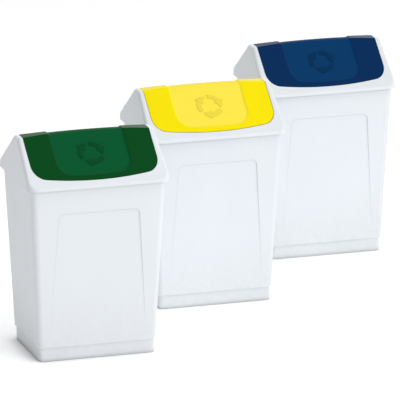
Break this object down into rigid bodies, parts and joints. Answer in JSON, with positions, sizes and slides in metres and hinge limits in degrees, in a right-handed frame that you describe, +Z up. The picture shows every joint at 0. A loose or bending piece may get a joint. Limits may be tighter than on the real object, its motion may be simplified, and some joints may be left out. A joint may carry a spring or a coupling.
{
  "type": "recycling bin station",
  "caption": "Set of free-standing swing-top bins for sorted waste, each with a tapered bucket, a lift-off pitched hood and a coloured flap that swings both ways.",
  "frame": {"origin": "on the floor, midway between the outer bins, which is under the middle of the yellow bin", "axes": "+X to the right along the row, +Y to the back, +Z up; the bins' fronts face -Y"},
  "size_m": [1.141, 0.935, 0.5315],
  "materials": {
    "bucket_plastic": "injection-moulded white polypropylene, satin",
    "hood_plastic": "injection-moulded white polypropylene, satin",
    "green_flap_plastic": "injection-moulded dark green polypropylene, semi-gloss",
    "yellow_flap_plastic": "injection-moulded yellow polypropylene, semi-gloss",
    "blue_flap_plastic": "injection-moulded dark blue polypropylene, semi-gloss",
    "pin_plastic": "natural white nylon"
  },
  "bodies": {
    "green_bin": {"green_bucket": "bucket_plastic"},
    "green_top": {"green_hood": "hood_plastic", "green_pivot_left": "pin_plastic", "green_pivot_right": "pin_plastic"},
    "green_lid": {"green_flap": "green_flap_plastic"},
    "yellow_bin": {"yellow_bucket": "bucket_plastic"},
    "yellow_top": {"yellow_hood": "hood_plastic", "yellow_pivot_left": "pin_plastic", "yellow_pivot_right": "pin_plastic"},
    "yellow_lid": {"yellow_flap": "yellow_flap_plastic"},
    "blue_bin": {"blue_bucket": "bucket_plastic"},
    "blue_top": {"blue_hood": "hood_plastic", "blue_pivot_left": "pin_plastic", "blue_pivot_right": "pin_plastic"},
    "blue_lid": {"blue_flap": "blue_flap_plastic"}
  },
  "joints": [
    {"name": "green_hood_lift", "type": "slide", "parent": "green_bin", "child": "green_top", "axis": [0, 0, 1], "range_m": [0, 0.2]},
    {"name": "green_flap_swing", "type": "hinge", "parent": "green_top", "child": "green_lid", "pos_m": [-0.396, -0.33, 0.509], "axis": [1, 0, 0], "range_deg": [-60, 60]},
    {"name": "yellow_bin_pull", "type": "slide", "parent": "green_bin", "child": "yellow_bin", "axis": [0, -1, 0], "range_m": [0, 0.3]},
    {"name": "yellow_hood_lift", "type": "slide", "parent": "yellow_bin", "child": "yellow_top", "axis": [0, 0, 1], "range_m": [0, 0.2]},
    {"name": "yellow_flap_swing", "type": "hinge", "parent": "yellow_top", "child": "yellow_lid", "pos_m": [0, 0, 0.509], "axis": [1, 0, 0], "range_deg": [-60, 60]},
    {"name": "blue_bin_pull", "type": "slide", "parent": "green_bin", "child": "blue_bin", "axis": [0, -1, 0], "range_m": [0, 0.3]},
    {"name": "blue_hood_lift", "type": "slide", "parent": "blue_bin", "child": "blue_top", "axis": [0, 0, 1], "range_m": [0, 0.2]},
    {"name": "blue_flap_swing", "type": "hinge", "parent": "blue_top", "child": "blue_lid", "pos_m": [0.396, 0.33, 0.509], "axis": [1, 0, 0], "range_deg": [-60, 60]}
  ]
}
